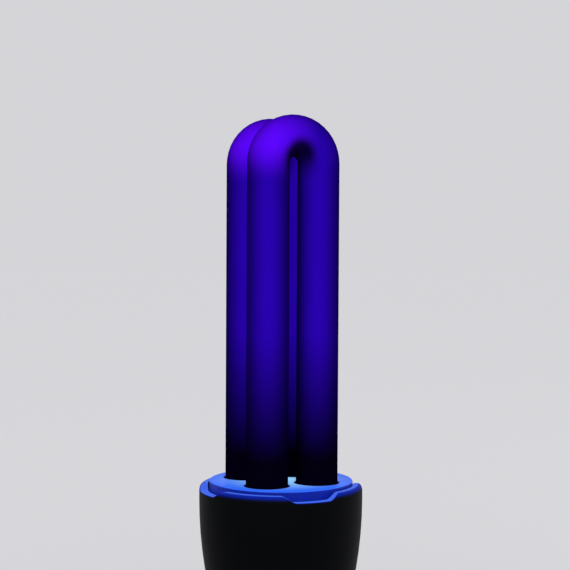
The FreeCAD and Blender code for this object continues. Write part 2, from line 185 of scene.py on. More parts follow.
class HousingSettings(PropertyGroup):
    rim_wall: length("Rim wall", "Thickness of the rim", 2.5 * MM)
    wall: length("Wall", "Thickness of the housing", 1.8 * MM)
    tab_round: length("Tab round", "Round along the outside of the tabs", 1.8 * MM)
    notch_depth: length("Notch depth", "Depth of the notches in the rim", 1.85 * MM)
    notch_top: length("Notch top", "Width of a notch at the top", 16.2 * MM)
    notch_floor: length("Notch floor", "Width of a notch at its floor", 11 * MM)
    notch_soft: length("Notch soft", "How soft the corners of a notch are", 0.25 * MM)
    edge: length("Edge", "Round along the sharp edges", 0.3 * MM)
    shoulder_radius: length("Shoulder radius", "Corner of the shoulder from the axis", 19.15 * MM)
    shoulder_rise: length("Shoulder rise", "Corner of the shoulder above the screw cap", 4.55 * MM)
    shoulder_round: length("Shoulder round", "Round of the shoulder", 8 * MM)
    barrel_round: length("Barrel round", "Round of the barrel", 125 * MM)
    barrel_lean: angle("Barrel lean", "Lean of the barrel towards the shoulder", 14)
    neck_radius: length("Neck radius", "Neck above the screw cap", 14.2 * MM)
    neck_rise: length("Neck rise", "Height of the neck", 1.7 * MM)
    neck_round: length("Neck round", "Round into the neck", 2.5 * MM)
    plug_radius: length("Plug radius", "Plug inside the screw cap", 11.55 * MM)
    plug_wall: length("Plug wall", "Thickness of the plug", 1.5 * MM)
    wire_slot: length("Wire slot", "Width of the slot for a wire in the plug", 1.8 * MM)
    rib_width: length("Rib width", "Width of the ribs that carry the board", 2 * MM)
    rib_height: length("Rib height", "Height of the ribs below the board", 12 * MM)
    rib_ledge: length("Rib ledge", "How far a rib reaches under the board", 1.3 * MM)
    board_gap: length("Board gap", "Between the board's edge and the ribs", 0.3 * MM)
    hook_room: length("Hook room", "Round a snap hook in its pocket", 0.3 * MM)
    sides: count("Sides", "Sides round the housing", 432)
    crown_steps: count("Crown steps", "Points over the round of a tab", 22)
    flat_steps: count("Flat steps", "Points over the flat top of a tab", 4)
    # Painted shade: near black, the shade the housing stands in, in place of its own lighter plastic.
    plastic: colour("Plastic", "Dark moulded plastic", shown(4, 5, 8))
    # Painted light: the next five set the tubes' blue light painted on the rim, as colour and as glow.
    rim_painted_light: colour("Rim blue", "Blue of the rim's rounds, next to the glowing holder", shown(6, 34, 165))
    edge_painted_light: colour("Edge blue", "Paler blue of the rim's upper faces", shown(72, 112, 248))
    rim_light_end: length("Glow end", "Depth below the top at which the rim's blue ends", 3.4 * MM)
    rim_light_full: length("Glow full", "Depth below the top at which the rim's blue is full", 2.4 * MM)
    glow_share: share("Glow share", "Part of the rim's blue that is light of its own", 0.5)
    roughness: share("Roughness", "Roughness of the plastic", 0.5)


class CapSettings(PropertyGroup):
    pitch: length("Pitch", "Pitch of the rolled thread", 3.629 * MM)
    depth: length("Depth", "Depth of the rolled thread", 0.95 * MM)
    sheet: length("Sheet", "Thickness of the sheet metal", 0.4 * MM)
    thread_start: length("Thread start", "Start of the thread above the shell's lower edge", 2 * MM)
    thread_end: length("Thread end", "End of the thread below the shell's upper edge", 3.4 * MM)
    first_crest: length("First crest", "Crest over the X axis above the shell's lower edge", 4.1 * MM)
    runout: length("Run-out", "Height over which the thread runs out", 1.8 * MM)
    mouth: length("Mouth", "Radius of the turned-in lower edge", 9.5 * MM)
    heel: length("Heel", "Height of the turned-in lower edge", 2.6 * MM)
    flare: length("Flare", "How far the upper edge stands out of the collar", 0.35 * MM)
    stakes: count("Stakes", "Punch marks that fix the shell to the housing", 12)
    stake_size: length("Stake size", "Radius of a punch mark", 0.7 * MM)
    stake_depth: length("Stake depth", "Depth of a punch mark", 0.28 * MM)
    columns: count("Columns", "Columns of faces round the shell", 144)
    rows: count("Rows", "Rows of faces up the shell", 140)
    # Below this band, the thread's roots get painted shade and grime.
    crest_band: length("Crest band", "Depth below the crests that stays bright", 0.3 * MM)
    seat: length("Seat", "Shell's lower edge on the insulator", 0.5 * MM)
    bond_gap: length("Bond gap", "Between the shell and the insulator", 0.05 * MM)
    edge: length("Edge", "Round along the insulator's other edges", 0.2 * MM)
    fine_edge: length("Fine edge", "Round along hidden edges", 0.1 * MM)
    insulator_sides: count("Insulator sides", "Sides round the insulator", 128)
    contact_sides: count("Contact sides", "Sides round the contact", 96)
    insulator_tip: length("Insulator tip", "Radius of the insulator's lower face", 6.2 * MM)
    insulator_bore: length("Insulator bore", "Radius of the hole for the wire", 1.1 * MM)
    insulator_round: length("Insulator round", "Round along the insulator's lower edge", 0.5 * MM)
    contact_flat: length("Contact flat", "Radius of the contact's flat tip", 2.5 * MM)
    contact_crown: length("Contact crown", "Height of the contact's crown", 0.8 * MM)
    contact_round: length("Contact round", "Round along the contact's edges", 0.7 * MM)
    metal: colour("Metal", "Plated sheet metal", (0.62, 0.61, 0.59))
    glass: colour("Insulator", "Black insulating glass", shown(18, 17, 20))
    solder: colour("Solder", "Tinned contact", (0.56, 0.56, 0.57))


class StageSettings(PropertyGroup):
    camera_distance: length("Camera distance", "From the lamp's axis", 410.35 * MM)
    camera_height: length("Camera height", "Above the tip of the contact", 139.4 * MM)
    camera_turn: angle("Camera turn", "Round the lamp from the front of the U's, to the left", 23.29)
    camera_pan: angle("Camera pan", "To the right of the axis", 0.126)
    camera_pitch: angle("Camera pitch", "Below the horizon", 1.81)
    camera_roll: angle("Camera roll", "About the line of sight", 0.3)
    lens: FloatProperty(name="Lens", description="Focal length on the frame", default=89.7, unit="CAMERA")
    frame_width: FloatProperty(name="Frame", description="Width of the frame", default=36.0, unit="CAMERA")
    floor: colour("Floor", "Pale floor", (0.8, 0.8, 0.83))
    floor_radius: length("Floor radius", "Radius of the floor", 6.0)
    backdrop: colour("Backdrop", "Pale background", (0.665, 0.665, 0.69))
    ambient: share("Ambient", "Light from all round", 0.42)
    key_place: spot("Key place", "Where the wide key light comes from", (-0.5, -0.8, 1.0))
    key_strength: number("Key strength", "Strength of the key light", 1.95)
    key_spread: angle("Key spread", "How wide the key light is, which softens its shadows", 78)
    fill_place: spot("Fill place", "Place of the square fill light", (0.85, -0.55, 0.35))
    fill_size: length("Fill size", "Side of the fill light", 0.8)
    fill_power: FloatProperty(
        name="Fill power", description="Power of the fill light", default=1.1, unit="POWER")


class LampSettings(PropertyGroup):
    tube: PointerProperty(type=TubeSettings)
    holder: PointerProperty(type=HolderSettings)
    housing: PointerProperty(type=HousingSettings)
    cap: PointerProperty(type=CapSettings)
    stage: PointerProperty(type=StageSettings)


class Tree:
    """A node tree and the few calls that build it."""

    def __init__(self, tree):
        self.tree = tree

    def add(self, kind, inputs=(), **settings):
        """A new node with its settings and inputs, by name or number: a socket is linked, a value is set."""
        node = self.tree.nodes.new(kind)
        for key, value in settings.items():
            setattr(node, key, value)
        for key, value in dict(inputs).items():
            self.feed(node.inputs[key], value)
        return node

    def feed(self, socket, value):
        if isinstance(value, bpy.types.NodeSocket):
            self.tree.links.new(value, socket)
        else:
            socket.default_value = value

    def math(self, operation, first, second=0.0):
        return self.add("ShaderNodeMath", {0: first, 1: second}, operation=operation).outputs[0]

    def plus(self, first, second):
        return self.math("ADD", first, second)

    def minus(self, first, second):
        return self.math("SUBTRACT", first, second)

    def times(self, first, second):
        return self.math("MULTIPLY", first, second)

    def ratio(self, first, second):
        return self.math("DIVIDE", first, second)

    def squares(self, first, second):
        """Sum of two squares."""
        return self.plus(self.times(first, first), self.times(second, second))

    def ramp(self, value, start, end, smooth=True):
        """0 at start and 1 at end, clamped."""
        kind = "SMOOTHSTEP" if smooth else "LINEAR"
        inputs = {"Value": value, "From Min": start, "From Max": end}
        return self.add("ShaderNodeMapRange", inputs, interpolation_type=kind).outputs["Result"]

    def blend(self, amount, first, second):
        """Colour between two, by an amount from 0 to 1."""
        node = self.add("ShaderNodeMix", data_type="RGBA")
        colours = [socket for socket in node.inputs if socket.type == "RGBA"]
        for socket, value in zip(colours, (first, second)):
            self.feed(socket, value if isinstance(value, bpy.types.NodeSocket) else (*value, 1.0))
        self.feed(node.inputs["Factor"], amount)
        return next(socket for socket in node.outputs if socket.type == "RGBA")


class Finish(Tree):
    """A procedural material: Principled shader, Object coordinates and fine grain."""

    def __init__(self, name, roughness, metallic=0.0, specular=0.5):
        self.material = bpy.data.materials.new(name)
        self.material.use_nodes = True
        super().__init__(self.material.node_tree)
        self.tree.nodes.clear()
        output = self.add("ShaderNodeOutputMaterial")
        self.shader = self.add("ShaderNodeBsdfPrincipled")
        self.tree.links.new(self.shader.outputs[0], output.inputs["Surface"])
        self.shader.inputs["Roughness"].default_value = roughness
        self.shader.inputs["Metallic"].default_value = metallic
        self.shader.inputs["Specular IOR Level"].default_value = specular
        coordinates = self.add("ShaderNodeTexCoord")
        self.place = coordinates.outputs["Object"]
        self.normal = coordinates.outputs["Normal"]
        parts = self.add("ShaderNodeSeparateXYZ", {0: self.place}).outputs
        self.x, self.y, self.z = parts

    def from_axis(self):
        """Distance from the lamp's axis."""
        return self.math("SQRT", self.squares(self.x, self.y))

    def facing_up(self):
        """1 on a level face that looks up, 0 on an upright one."""
        return self.add("ShaderNodeSeparateXYZ", {0: self.normal}).outputs["Z"]

    def facing_out(self):
        """1 on an upright face that looks away from the axis, 0 on a level one."""
        across = self.add("ShaderNodeCombineXYZ", {"X": self.x, "Y": self.y}).outputs[0]
        outwards = self.add("ShaderNodeVectorMath", {0: across}, operation="NORMALIZE").outputs[0]
        facing = self.add("ShaderNodeVectorMath", {0: self.normal, 1: outwards}, operation="DOT_PRODUCT")
        return facing.outputs["Value"]

    def grain(self, scale, detail=3.0):
        """Fine noise from 0 to 1."""
        inputs = {"Vector": self.place, "Scale": scale, "Detail": detail}
        return self.add("ShaderNodeTexNoise", inputs).outputs["Fac"]

    def bump(self, height, strength, distance):
        inputs = {"Height": height, "Strength": strength, "Distance": distance}
        self.feed(self.shader.inputs["Normal"], self.add("ShaderNodeBump", inputs).outputs[0])

    def paint(self, value):
        self.feed(self.shader.inputs["Base Color"], value)

    def roughen(self, value, low, high):
        """Roughness between two values, by a pattern."""
        inputs = {"Value": value, "To Min": low, "To Max": high}
        self.feed(self.shader.inputs["Roughness"], self.add("ShaderNodeMapRange", inputs).outputs["Result"])

    def see_through_behind(self):
        """The surface shows from its front only."""
        output = next(node for node in self.tree.nodes if node.type == "OUTPUT_MATERIAL")
        behind = self.add("ShaderNodeNewGeometry").outputs["Backfacing"]
        clear = self.add("ShaderNodeBsdfTransparent").outputs[0]
        mix = self.add("ShaderNodeMixShader", {0: behind, 1: self.shader.outputs[0], 2: clear})
        self.tree.links.new(mix.outputs[0], output.inputs["Surface"])

    def light(self, value, strength):
        self.feed(self.shader.inputs["Emission Color"], value)
        self.shader.inputs["Emission Strength"].default_value = strength


def lit_glass(sizes):
    """Dyed glass of the lit tubes: bright bends, dark feet, and dimmer where it is seen at a slant."""
    finish = Finish("lit violet glass", sizes.roughness, specular=0.0)
    bend_radius, bend_height = bend(sizes)
    bend_start = bend_height - sizes.bend_fade
    floor = holder_high.z
    rise = finish.ramp(finish.z, floor + sizes.dark_end, floor + sizes.full_glow, smooth=False)
    rise = finish.math("POWER", rise, sizes.rise_curve)
    over = finish.math("MAXIMUM", finish.minus(finish.z, bend_height), 0.0)
    reach = finish.math("SQRT", finish.squares(finish.x, over))
    sideways = finish.math("POWER", finish.ratio(finish.math("ABSOLUTE", finish.x), reach), 2.0)
    # Painted shade on the inner side of each bend, narrower next to the legs.
    lit_from = finish.minus(bend_radius + sizes.crook_edge, finish.times(sideways, sizes.crook_narrow))
    inner = finish.ramp(reach, lit_from, finish.minus(lit_from, sizes.crook_fade))
    crook_shade = finish.times(inner, finish.ramp(finish.z, bend_start, bend_height + sizes.crook_height))
    glow_past_crook_shade = finish.minus(1.0, finish.times(crook_shade, sizes.crook_shade_depth))
    streaks = finish.ramp(finish.grain(scale=55.0), start=-3.0, end=0.6, smooth=False)
    level = finish.times(finish.times(rise, glow_past_crook_shade), streaks)
    high = finish.ramp(finish.z, bend_start, bend_height + sizes.bend_fade)
    bright = finish.ramp(finish.x, sizes.bright_side * bend_radius, -bend_radius, smooth=False)
    hue = finish.blend(finish.times(high, bright), sizes.glow, sizes.bend_glow)
    slant = finish.add("ShaderNodeLayerWeight", {"Blend": 0.5}).outputs["Facing"]
    dimming = finish.minus(sizes.leg_dimming, finish.times(high, sizes.leg_dimming - sizes.bend_dimming))
    through = finish.math("POWER", finish.minus(1.0, slant), dimming)
    # Painted light: where the tube glows, its base colour takes a share of the glow's colour in place of the
    # dark unlit glass.
    finish.paint(finish.blend(finish.times(level, 1.0 - sizes.glow_share), sizes.unlit, hue))
    finish.light(finish.blend(finish.times(level, through), BLACK, hue), sizes.glow_share)
    return finish.material


def holder_plastic(sizes):
    """Pale plastic with the tubes' blue light painted on, as colour and as painted glow, palest between the
    legs where the painted light pools.
    """
    finish = Finish("blue glowing plastic", sizes.roughness, specular=0.12)
    # Painted light: the tubes' light is painted palest towards the middle, between the legs.
    edge, middle = sizes.lit_pool_from * holder_high.x, sizes.lit_pool_to * holder_high.x
    near = finish.math("POWER", finish.ramp(finish.from_axis(), edge, middle, smooth=False), sizes.lit_pool_curve)
    # Painted shade: faces that look sideways, like the skirt, take the deeper blue.
    side = finish.ramp(finish.facing_up(), start=0.95, end=0.2)
    mottle = finish.ramp(finish.grain(scale=900.0), start=-1.6, end=0.7, smooth=False)
    # Painted light: the plastic's colour is the blue of the tubes' light on it.
    hue = finish.blend(near, sizes.blue, sizes.middle)
    hue = finish.blend(side, hue, sizes.side)
    hue = finish.blend(mottle, BLACK, hue)
    finish.paint(hue)
    # Painted glow: part of the painted blue is given as light of its own, most between the legs.
    brightest_painted_glow = shade(sizes.middle, sizes.middle_painted_glow / sizes.glow_share)
    finish.light(finish.blend(near, hue, finish.blend(side, brightest_painted_glow, sizes.side)), sizes.glow_share)
    finish.bump(finish.grain(scale=1600.0), strength=0.05, distance=0.05 * MM)
    return finish.material


def housing_plastic(sizes):
    """Satin plastic with a fine grain, painted near black as shade, with the tubes' blue light painted on the
    rim as colour and as glow, palest where that doesn't look outwards.
    """
    finish = Finish("dark moulded plastic", sizes.roughness, specular=0.03)
    top = housing_high.z
    # Painted light: the tubes' blue light on the upper rim, on faces that look up.
    rim = finish.ramp(finish.z, top - sizes.rim_light_end, top - sizes.rim_light_full)
    glow = finish.times(finish.ramp(finish.facing_up(), start=0.15, end=1.0), rim)
    # Painted light: faces that don't look outwards, like the notch walls, get the paler blue.
    pale = finish.ramp(finish.facing_out(), start=0.5, end=0.08)
    grain = finish.grain(scale=1400.0)
    mottle = finish.ramp(grain, start=-0.5, end=0.75, smooth=False)
    # Painted shade: near-black tone of the shaded housing, with random grain.
    plastic = finish.blend(mottle, BLACK, sizes.plastic)
    # Painted light: the rim's blue, as a share of the base colour and as glow.
    blue = finish.blend(pale, sizes.rim_painted_light, sizes.edge_painted_light)
    rim_light_base = finish.blend(1.0 - sizes.glow_share, BLACK, blue)
    finish.paint(finish.blend(glow, plastic, rim_light_base))
    finish.light(finish.blend(glow, BLACK, blue), sizes.glow_share)
    finish.roughen(grain, low=sizes.roughness - 0.05, high=sizes.roughness + 0.1)
    finish.bump(grain, strength=0.12, distance=0.05 * MM)
    return finish.material


def cap_metal(sizes):
    """Plated sheet metal, darker and duller in the roots of the thread: partly grime, partly painted shade in
    the grooves.
    """
    finish = Finish("plated sheet metal", roughness=0.28, metallic=1.0)
    # Painted shade and grime in the thread's roots, below the crest band, patchy by the wear grain.
    root = finish.ramp(finish.from_axis(), shell_high.x - sizes.crest_band, shell_high.x - sizes.depth)
    wear = finish.grain(scale=260.0, detail=5.0)
    root_shade_and_grime = finish.times(root, finish.ramp(wear, start=0.2, end=0.8))
    finish.paint(finish.blend(root_shade_and_grime, sizes.metal, shade(sizes.metal, 0.4)))
    finish.roughen(wear, low=0.28, high=0.48)
    finish.bump(finish.grain(scale=700.0), strength=0.08, distance=0.05 * MM)
    return finish.material


def cap_glass(sizes):
    """Black pressed glass."""
    finish = Finish("black insulating glass", roughness=0.16)
    swirl = finish.ramp(finish.grain(scale=240.0, detail=5.0), start=0.3, end=0.75)
    finish.paint(finish.blend(swirl, sizes.glass, shade(sizes.glass, 1.9)))
    finish.bump(finish.grain(scale=380.0), strength=0.15, distance=0.1 * MM)
    return finish.material


def tinned(sizes):
    """Tinned contact with fine scuffs."""
    finish = Finish("tinned contact", roughness=0.35, metallic=1.0)
    scuffs = finish.grain(scale=900.0, detail=6.0)
    scuffed = finish.ramp(scuffs, start=0.35, end=0.7)
    finish.paint(finish.blend(scuffed, sizes.solder, shade(sizes.solder, 0.72)))
    finish.roughen(scuffs, low=0.25, high=0.55)
    finish.bump(scuffs, strength=0.2, distance=0.06 * MM)
    return finish.material


def inner_finish(name, tone, roughness, metallic=0.0):
    """A plain material for pieces inside the housing, with a mottled tone and a fine grain."""
    finish = Finish(name, roughness, metallic)
    speckle = finish.grain(scale=600.0, detail=4.0)
    mottle = finish.ramp(speckle, start=0.3, end=0.7)
    finish.paint(finish.blend(mottle, shade(tone, 0.8), tone))
    finish.bump(speckle, strength=0.15, distance=0.08 * MM)
    return finish.material


def new_piece(name, mesh, *nodes):
    """Object for a finished mesh, which rides on the lamp and stands for CAD nodes."""
    piece = bpy.data.objects.new(name, mesh)
    bpy.context.scene.collection.objects.link(piece)
    if nodes:
        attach(piece, "root")
        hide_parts(*nodes)
    return piece


def cut_by(piece, cutters):
    """Adds the cuts that other objects make in a piece."""
    for cutter in cutters:
        cut = piece.modifiers.new(cutter.name, "BOOLEAN")
        cut.object = cutter
        cut.solver = "EXACT"


def settled(piece, name, cutters=()):
    """Plain mesh of an object with its modifiers; the object and its cutters are removed."""
    bpy.context.view_layer.update()
    evaluated = piece.evaluated_get(bpy.context.evaluated_depsgraph_get())
    mesh = bpy.data.meshes.new_from_object(evaluated)
    mesh.name = name
    for spent in (piece, *cutters):
        old = spent.data
        bpy.data.objects.remove(spent)
        bpy.data.meshes.remove(old)
    if not mesh.polygons:
        raise RuntimeError(f"{name} came out empty")
    return mesh


def tree_mesh(name, tree, values):
    """Plain mesh that a geometry tree makes from its named inputs."""
    piece = new_piece(name, bpy.data.meshes.new(name))
    modifier = piece.modifiers.new(name, "NODES")
    modifier.node_group = tree
    for item in tree.interface.items_tree:
        if item.in_out == "INPUT" and item.name in values:
            modifier[item.identifier] = values[item.name]
    return settled(piece, name)


def new_tree(name, numbers, whole=()):
    """Geometry tree with named number inputs and a material input: the tree, and its inputs by name."""
    group = bpy.data.node_groups.new(name, "GeometryNodeTree")
    group.interface.new_socket("Geometry", in_out="OUTPUT", socket_type="NodeSocketGeometry")
    for label in numbers:
        group.interface.new_socket(label, in_out="INPUT", socket_type="NodeSocketFloat")
    for label in whole:
        group.interface.new_socket(label, in_out="INPUT", socket_type="NodeSocketInt")
    group.interface.new_socket("Material", in_out="INPUT", socket_type="NodeSocketMaterial")
    tree = Tree(group)
    return tree, tree.add("NodeGroupInput").outputs


def end_tree(tree, geometry, inputs):
    """Closes a tree: smooth faces, real instances and the piece's material."""
    smooth = tree.add("GeometryNodeSetShadeSmooth", {"Geometry": geometry}).outputs[0]
    real = tree.add("GeometryNodeRealizeInstances", {"Geometry": smooth}).outputs[0]
    made = tree.add("GeometryNodeSetMaterial", {"Geometry": real, "Material": inputs["Material"]}).outputs[0]
    tree.add("NodeGroupOutput", {"Geometry": made})
    return tree.tree


def rounded(corners, step=math.radians(6)):
    """Outline through (radius, height, round) corners, with each round as a fine arc.

    A round gives way on a side that is too short for it.
    """
    points = [Vector((r, z)) for r, z, _ in corners]
    following = points[1:] + points[:1]
    arms = [(points[i - 1] - corner, following[i] - corner) for i, corner in enumerate(points)]
    halves = [back.angle(ahead) / 2 for back, ahead in arms]
    runs = [fillet / math.tan(half) for (_, _, fillet), half in zip(corners, halves)]
    room = [SIDE_SHARE * ahead.length / max(run + next_run, STEP)
            for (_, ahead), run, next_run in zip(arms, runs, runs[1:] + runs[:1])]
    outline = []
    for i, (corner, half) in enumerate(zip(points, halves)):
        if not runs[i]:
            outline.append(corner)
            continue
        back, ahead = (arm.normalized() for arm in arms[i])
        run = runs[i] * min(1.0, room[i - 1], room[i])
        radius = run * math.tan(half)
        centre = corner + (back + ahead).normalized() * radius / math.sin(half)
        start = corner + back * run - centre
        end = corner + ahead * run - centre
        turn = start.angle(end)
        steps = max(2, math.ceil(turn / step))
        for k in range(steps + 1):
            early = math.sin(turn * (1 - k / steps)) / math.sin(turn)
            late = math.sin(turn * k / steps) / math.sin(turn)
            outline.append(centre + start * early + end * late)
    return outline


def turned_mesh(name, outline, sides, shape=None, axis=(0.0, 0.0)):
    """Closed mesh turned about an upright axis, from an outline that runs so that the solid lies on its left.

    The outline is closed, or has its two ends on the axis. shape, if given, moves each point by its angle.
    """
    mesh = bpy.data.meshes.new(name)
    work = bmesh.new()
    rings = []
    for point in outline:
        if point[0] < 1e-9:
            rings.append([work.verts.new((axis[0], axis[1], point[1]))])
            continue
        ring = []
        for i in range(sides):
            turn = 2 * math.pi * i / sides
            r, z = shape(point[0], point[1], turn) if shape else point
            ring.append(work.verts.new((axis[0] + r * math.cos(turn), axis[1] + r * math.sin(turn), z)))
        rings.append(ring)
    closed = len(rings[0]) > 1
    for first, second in zip(rings, rings[1:] + (rings[:1] if closed else [])):
        for i in range(sides):
            j = (i + 1) % sides
            corners = [ring[k % len(ring)] for ring, k in ((first, i), (first, j), (second, j), (second, i))]
            kept = list(dict.fromkeys(corners))
            if len(kept) > 2:
                work.faces.new(kept)
    bmesh.ops.recalc_face_normals(work, faces=work.faces)
    for face in work.faces:
        face.smooth = True
    work.to_mesh(mesh)
    work.free()
    return mesh


def from_quarter(turn):
    """Angle to the nearest of the four main directions."""
    return turn - round(turn / (math.pi / 2)) * math.pi / 2


def from_corner(turn):
    """Angle, without its sign, to the nearest direction of a snap hook, halfway between the main ones."""
    return abs(from_quarter(turn - math.pi / 4))


def hook_span(sizes):
    """Lower and upper end of the snap hooks."""
    low = holder_low.z + sizes.hook_rise
    return low, low + sizes.hook_height


def crease(mesh, degrees=38.0):
    mesh.set_sharp_from_angle(angle=math.radians(degrees))
    return mesh


def dress(mesh, material):
    mesh.materials.clear()
    mesh.materials.append(material)
    return mesh


def bend(sizes):
    """Radius of the bend of a U at the middle of its tube, and the height of the bend's centre."""
    radius = tube_high.x - sizes.diameter / 2
    return radius, tube_high.z - sizes.diameter / 2 - radius


def tube_tree():
    """Two U's swept along a straight leg, a half circle and a second leg, and the bridge between them."""
    tree, size = new_tree(
        "U-bent tubes",
        ("Bend Radius", "Bend Height", "Foot Height", "U Spacing", "Tube Radius", "Bridge Radius",
         "Bridge Height"),
        ("Points", "Sides"))
    leg = tree.minus(size["Bend Height"], size["Foot Height"])
    half_turn = tree.times(size["Bend Radius"], math.pi)
    run = tree.plus(tree.times(leg, 2.0), half_turn)
    top = tree.add("ShaderNodeCombineXYZ", {"Z": run}).outputs[0]
    line = tree.add("GeometryNodeCurvePrimitiveLine", {"End": top}).outputs[0]
    path = tree.add("GeometryNodeResampleCurve", {"Curve": line, "Count": size["Points"]}).outputs[0]
    position = tree.add("GeometryNodeInputPosition").outputs[0]
    along = tree.add("ShaderNodeSeparateXYZ", {0: position}).outputs["Z"]
    past = tree.minus(along, leg)
    turn = tree.math("MAXIMUM", tree.ratio(past, size["Bend Radius"]), 0.0)
    turn = tree.math("MINIMUM", turn, math.pi)
    x = tree.times(tree.math("COSINE", turn), tree.times(size["Bend Radius"], -1.0))
    climb = tree.plus(tree.math("MINIMUM", along, leg), size["Foot Height"])
    arch = tree.times(tree.math("SINE", turn), size["Bend Radius"])
    descent = tree.math("MAXIMUM", tree.minus(past, half_turn), 0.0)
    z = tree.minus(tree.plus(climb, arch), descent)
    place = tree.add("ShaderNodeCombineXYZ", {"X": x, "Z": z}).outputs[0]
    bent = tree.add("GeometryNodeSetPosition", {"Geometry": path, "Position": place}).outputs[0]
    circle = {"Resolution": size["Sides"], "Radius": size["Tube Radius"]}
    section = tree.add("GeometryNodeCurvePrimitiveCircle", circle).outputs[0]
    sweep = {"Curve": bent, "Profile Curve": section, "Fill Caps": True}
    swept = tree.add("GeometryNodeCurveToMesh", sweep).outputs[0]
    first = tree.add("ShaderNodeCombineXYZ", {"Y": tree.times(size["U Spacing"], -0.5)}).outputs[0]
    step = tree.add("ShaderNodeCombineXYZ", {"Y": size["U Spacing"]}).outputs[0]
    row = {"Count": 2, "Start Location": first, "Offset": step}
    places = tree.add("GeometryNodeMeshLine", row).outputs[0]
    pair = tree.add("GeometryNodeInstanceOnPoints", {"Points": places, "Instance": swept}).outputs[0]
    legs = tree.add("GeometryNodeRealizeInstances", {"Geometry": pair}).outputs[0]
    rod = {"Vertices": 32, "Radius": size["Bridge Radius"], "Depth": size["U Spacing"]}
    bar = tree.add("GeometryNodeMeshCylinder", rod).outputs[0]
    middle = tree.add("ShaderNodeCombineXYZ", {"X": size["Bend Radius"], "Z": size["Bridge Height"]})
    level = {"Geometry": bar, "Translation": middle.outputs[0], "Rotation": (math.pi / 2, 0.0, 0.0)}
    bridge = tree.add("GeometryNodeTransform", level).outputs[0]
    vessel = tree.add("GeometryNodeMeshBoolean", operation="UNION", solver="EXACT")
    tree.tree.links.new(legs, vessel.inputs["Mesh 2"])
    tree.tree.links.new(bridge, vessel.inputs["Mesh 2"])
    return end_tree(tree, vessel.outputs["Mesh"], size)


class LAMP_OT_tubes(Operator):
    """Sweep the two U-bent tubes in lit violet glass"""
    bl_idname = "lamp.make_tubes"
    bl_label = "Make tubes"

    def execute(self, context):
        sizes = context.scene.lamp.tube
        bend_radius, bend_height = bend(sizes)
        mesh = tree_mesh("glass_tubes", tube_tree(), {
            "Bend Radius": bend_radius,
            "Bend Height": bend_height,
            "Foot Height": tube_low.z,
            "U Spacing": tube_high.y - tube_low.y - sizes.diameter,
            "Tube Radius": sizes.diameter / 2,
            "Bridge Radius": sizes.bridge_diameter / 2,
            "Bridge Height": tube_low.z + sizes.bridge_rise,
            "Points": sizes.points,
            "Sides": sizes.sides,
            "Material": lit_glass(sizes),
        })
        new_piece("glass_tubes", crease(mesh), "discharge_tube")
        return {"FINISHED"}


class LAMP_OT_holder(Operator):
    """Turn the tube holder and cut its four holes with rounded edges"""
    bl_idname = "lamp.make_holder"
    bl_label = "Make holder"

    def execute(self, context):
        sizes = context.scene.lamp.holder
        cup = self.make_cup(sizes)
        cutters = self.hole_cutters(sizes, context.scene.lamp.tube)
        cut_by(cup, cutters)
        weighted = cup.modifiers.new("even shading", "WEIGHTED_NORMAL")
        weighted.keep_sharp = True
        mesh = dress(settled(cup, "tube_holder", cutters), holder_plastic(sizes))
        new_piece("holder_painted_tube_light", mesh, "tube_holder")
        return {"FINISHED"}

    def make_cup(self, sizes):
        """Plate and skirt in one, with the snap hooks."""
        top, bottom = holder_high.z, holder_low.z
        radius = holder_high.x
        inner_radius = radius - sizes.wall
        plate_bottom = top - sizes.plate
        hook_low, hook_top = hook_span(sizes)
        hook_half = sizes.hook_angle / 2 + math.pi / sizes.sides
        foot_edge = 0.4 * sizes.edge

        def hooked(r, z, turn):
            on_hook = hook_low + STEP / 2 < z < hook_top - STEP / 2 and r > radius - STEP / 2
            return (r + sizes.hook_reach if on_hook and from_corner(turn) < hook_half else r), z

        outline = rounded([
            (0, top, 0),
            (radius, top, sizes.edge),
            (radius, hook_top, 0),
            (radius, hook_top - STEP, 0),
            (radius, hook_top - sizes.hook_reach, 0),
            (radius, hook_low, 0),
            (radius, bottom, foot_edge),
            (inner_radius, bottom, foot_edge),
            (inner_radius, plate_bottom, sizes.edge),
            (0, plate_bottom, 0),
        ], step=math.radians(12))
        return new_piece("holder_cup", turned_mesh("holder_cup", outline, sizes.sides, hooked))

    def hole_cutters(self, sizes, tube):
        """A cutter for each leg, flared at the top to round the hole's lip."""
        top = holder_high.z
        low, high = top - sizes.plate - OVERLAP, top + OVERLAP
        leg_x, _ = bend(tube)
        leg_y = (tube_high.y - tube_low.y - tube.diameter) / 2
        hole = tube.diameter / 2 + sizes.hole_gap
        lip = []
        for k in range(sizes.lip_steps + 1):
            turn = math.pi / 2 * k / sizes.lip_steps
            lip.append((hole + sizes.edge * (1 - math.cos(turn)), top - sizes.edge * (1 - math.sin(turn))))
        outline = [(0, low), (hole, low), *lip, (hole + sizes.edge, high), (0, high)]
        cutters = []
        for x in (-leg_x, leg_x):
            for y in (-leg_y, leg_y):
                mesh = turned_mesh("leg_hole", outline, sizes.hole_sides, axis=(x, y))
                cutters.append(new_piece("leg_hole", mesh))
        return cutters


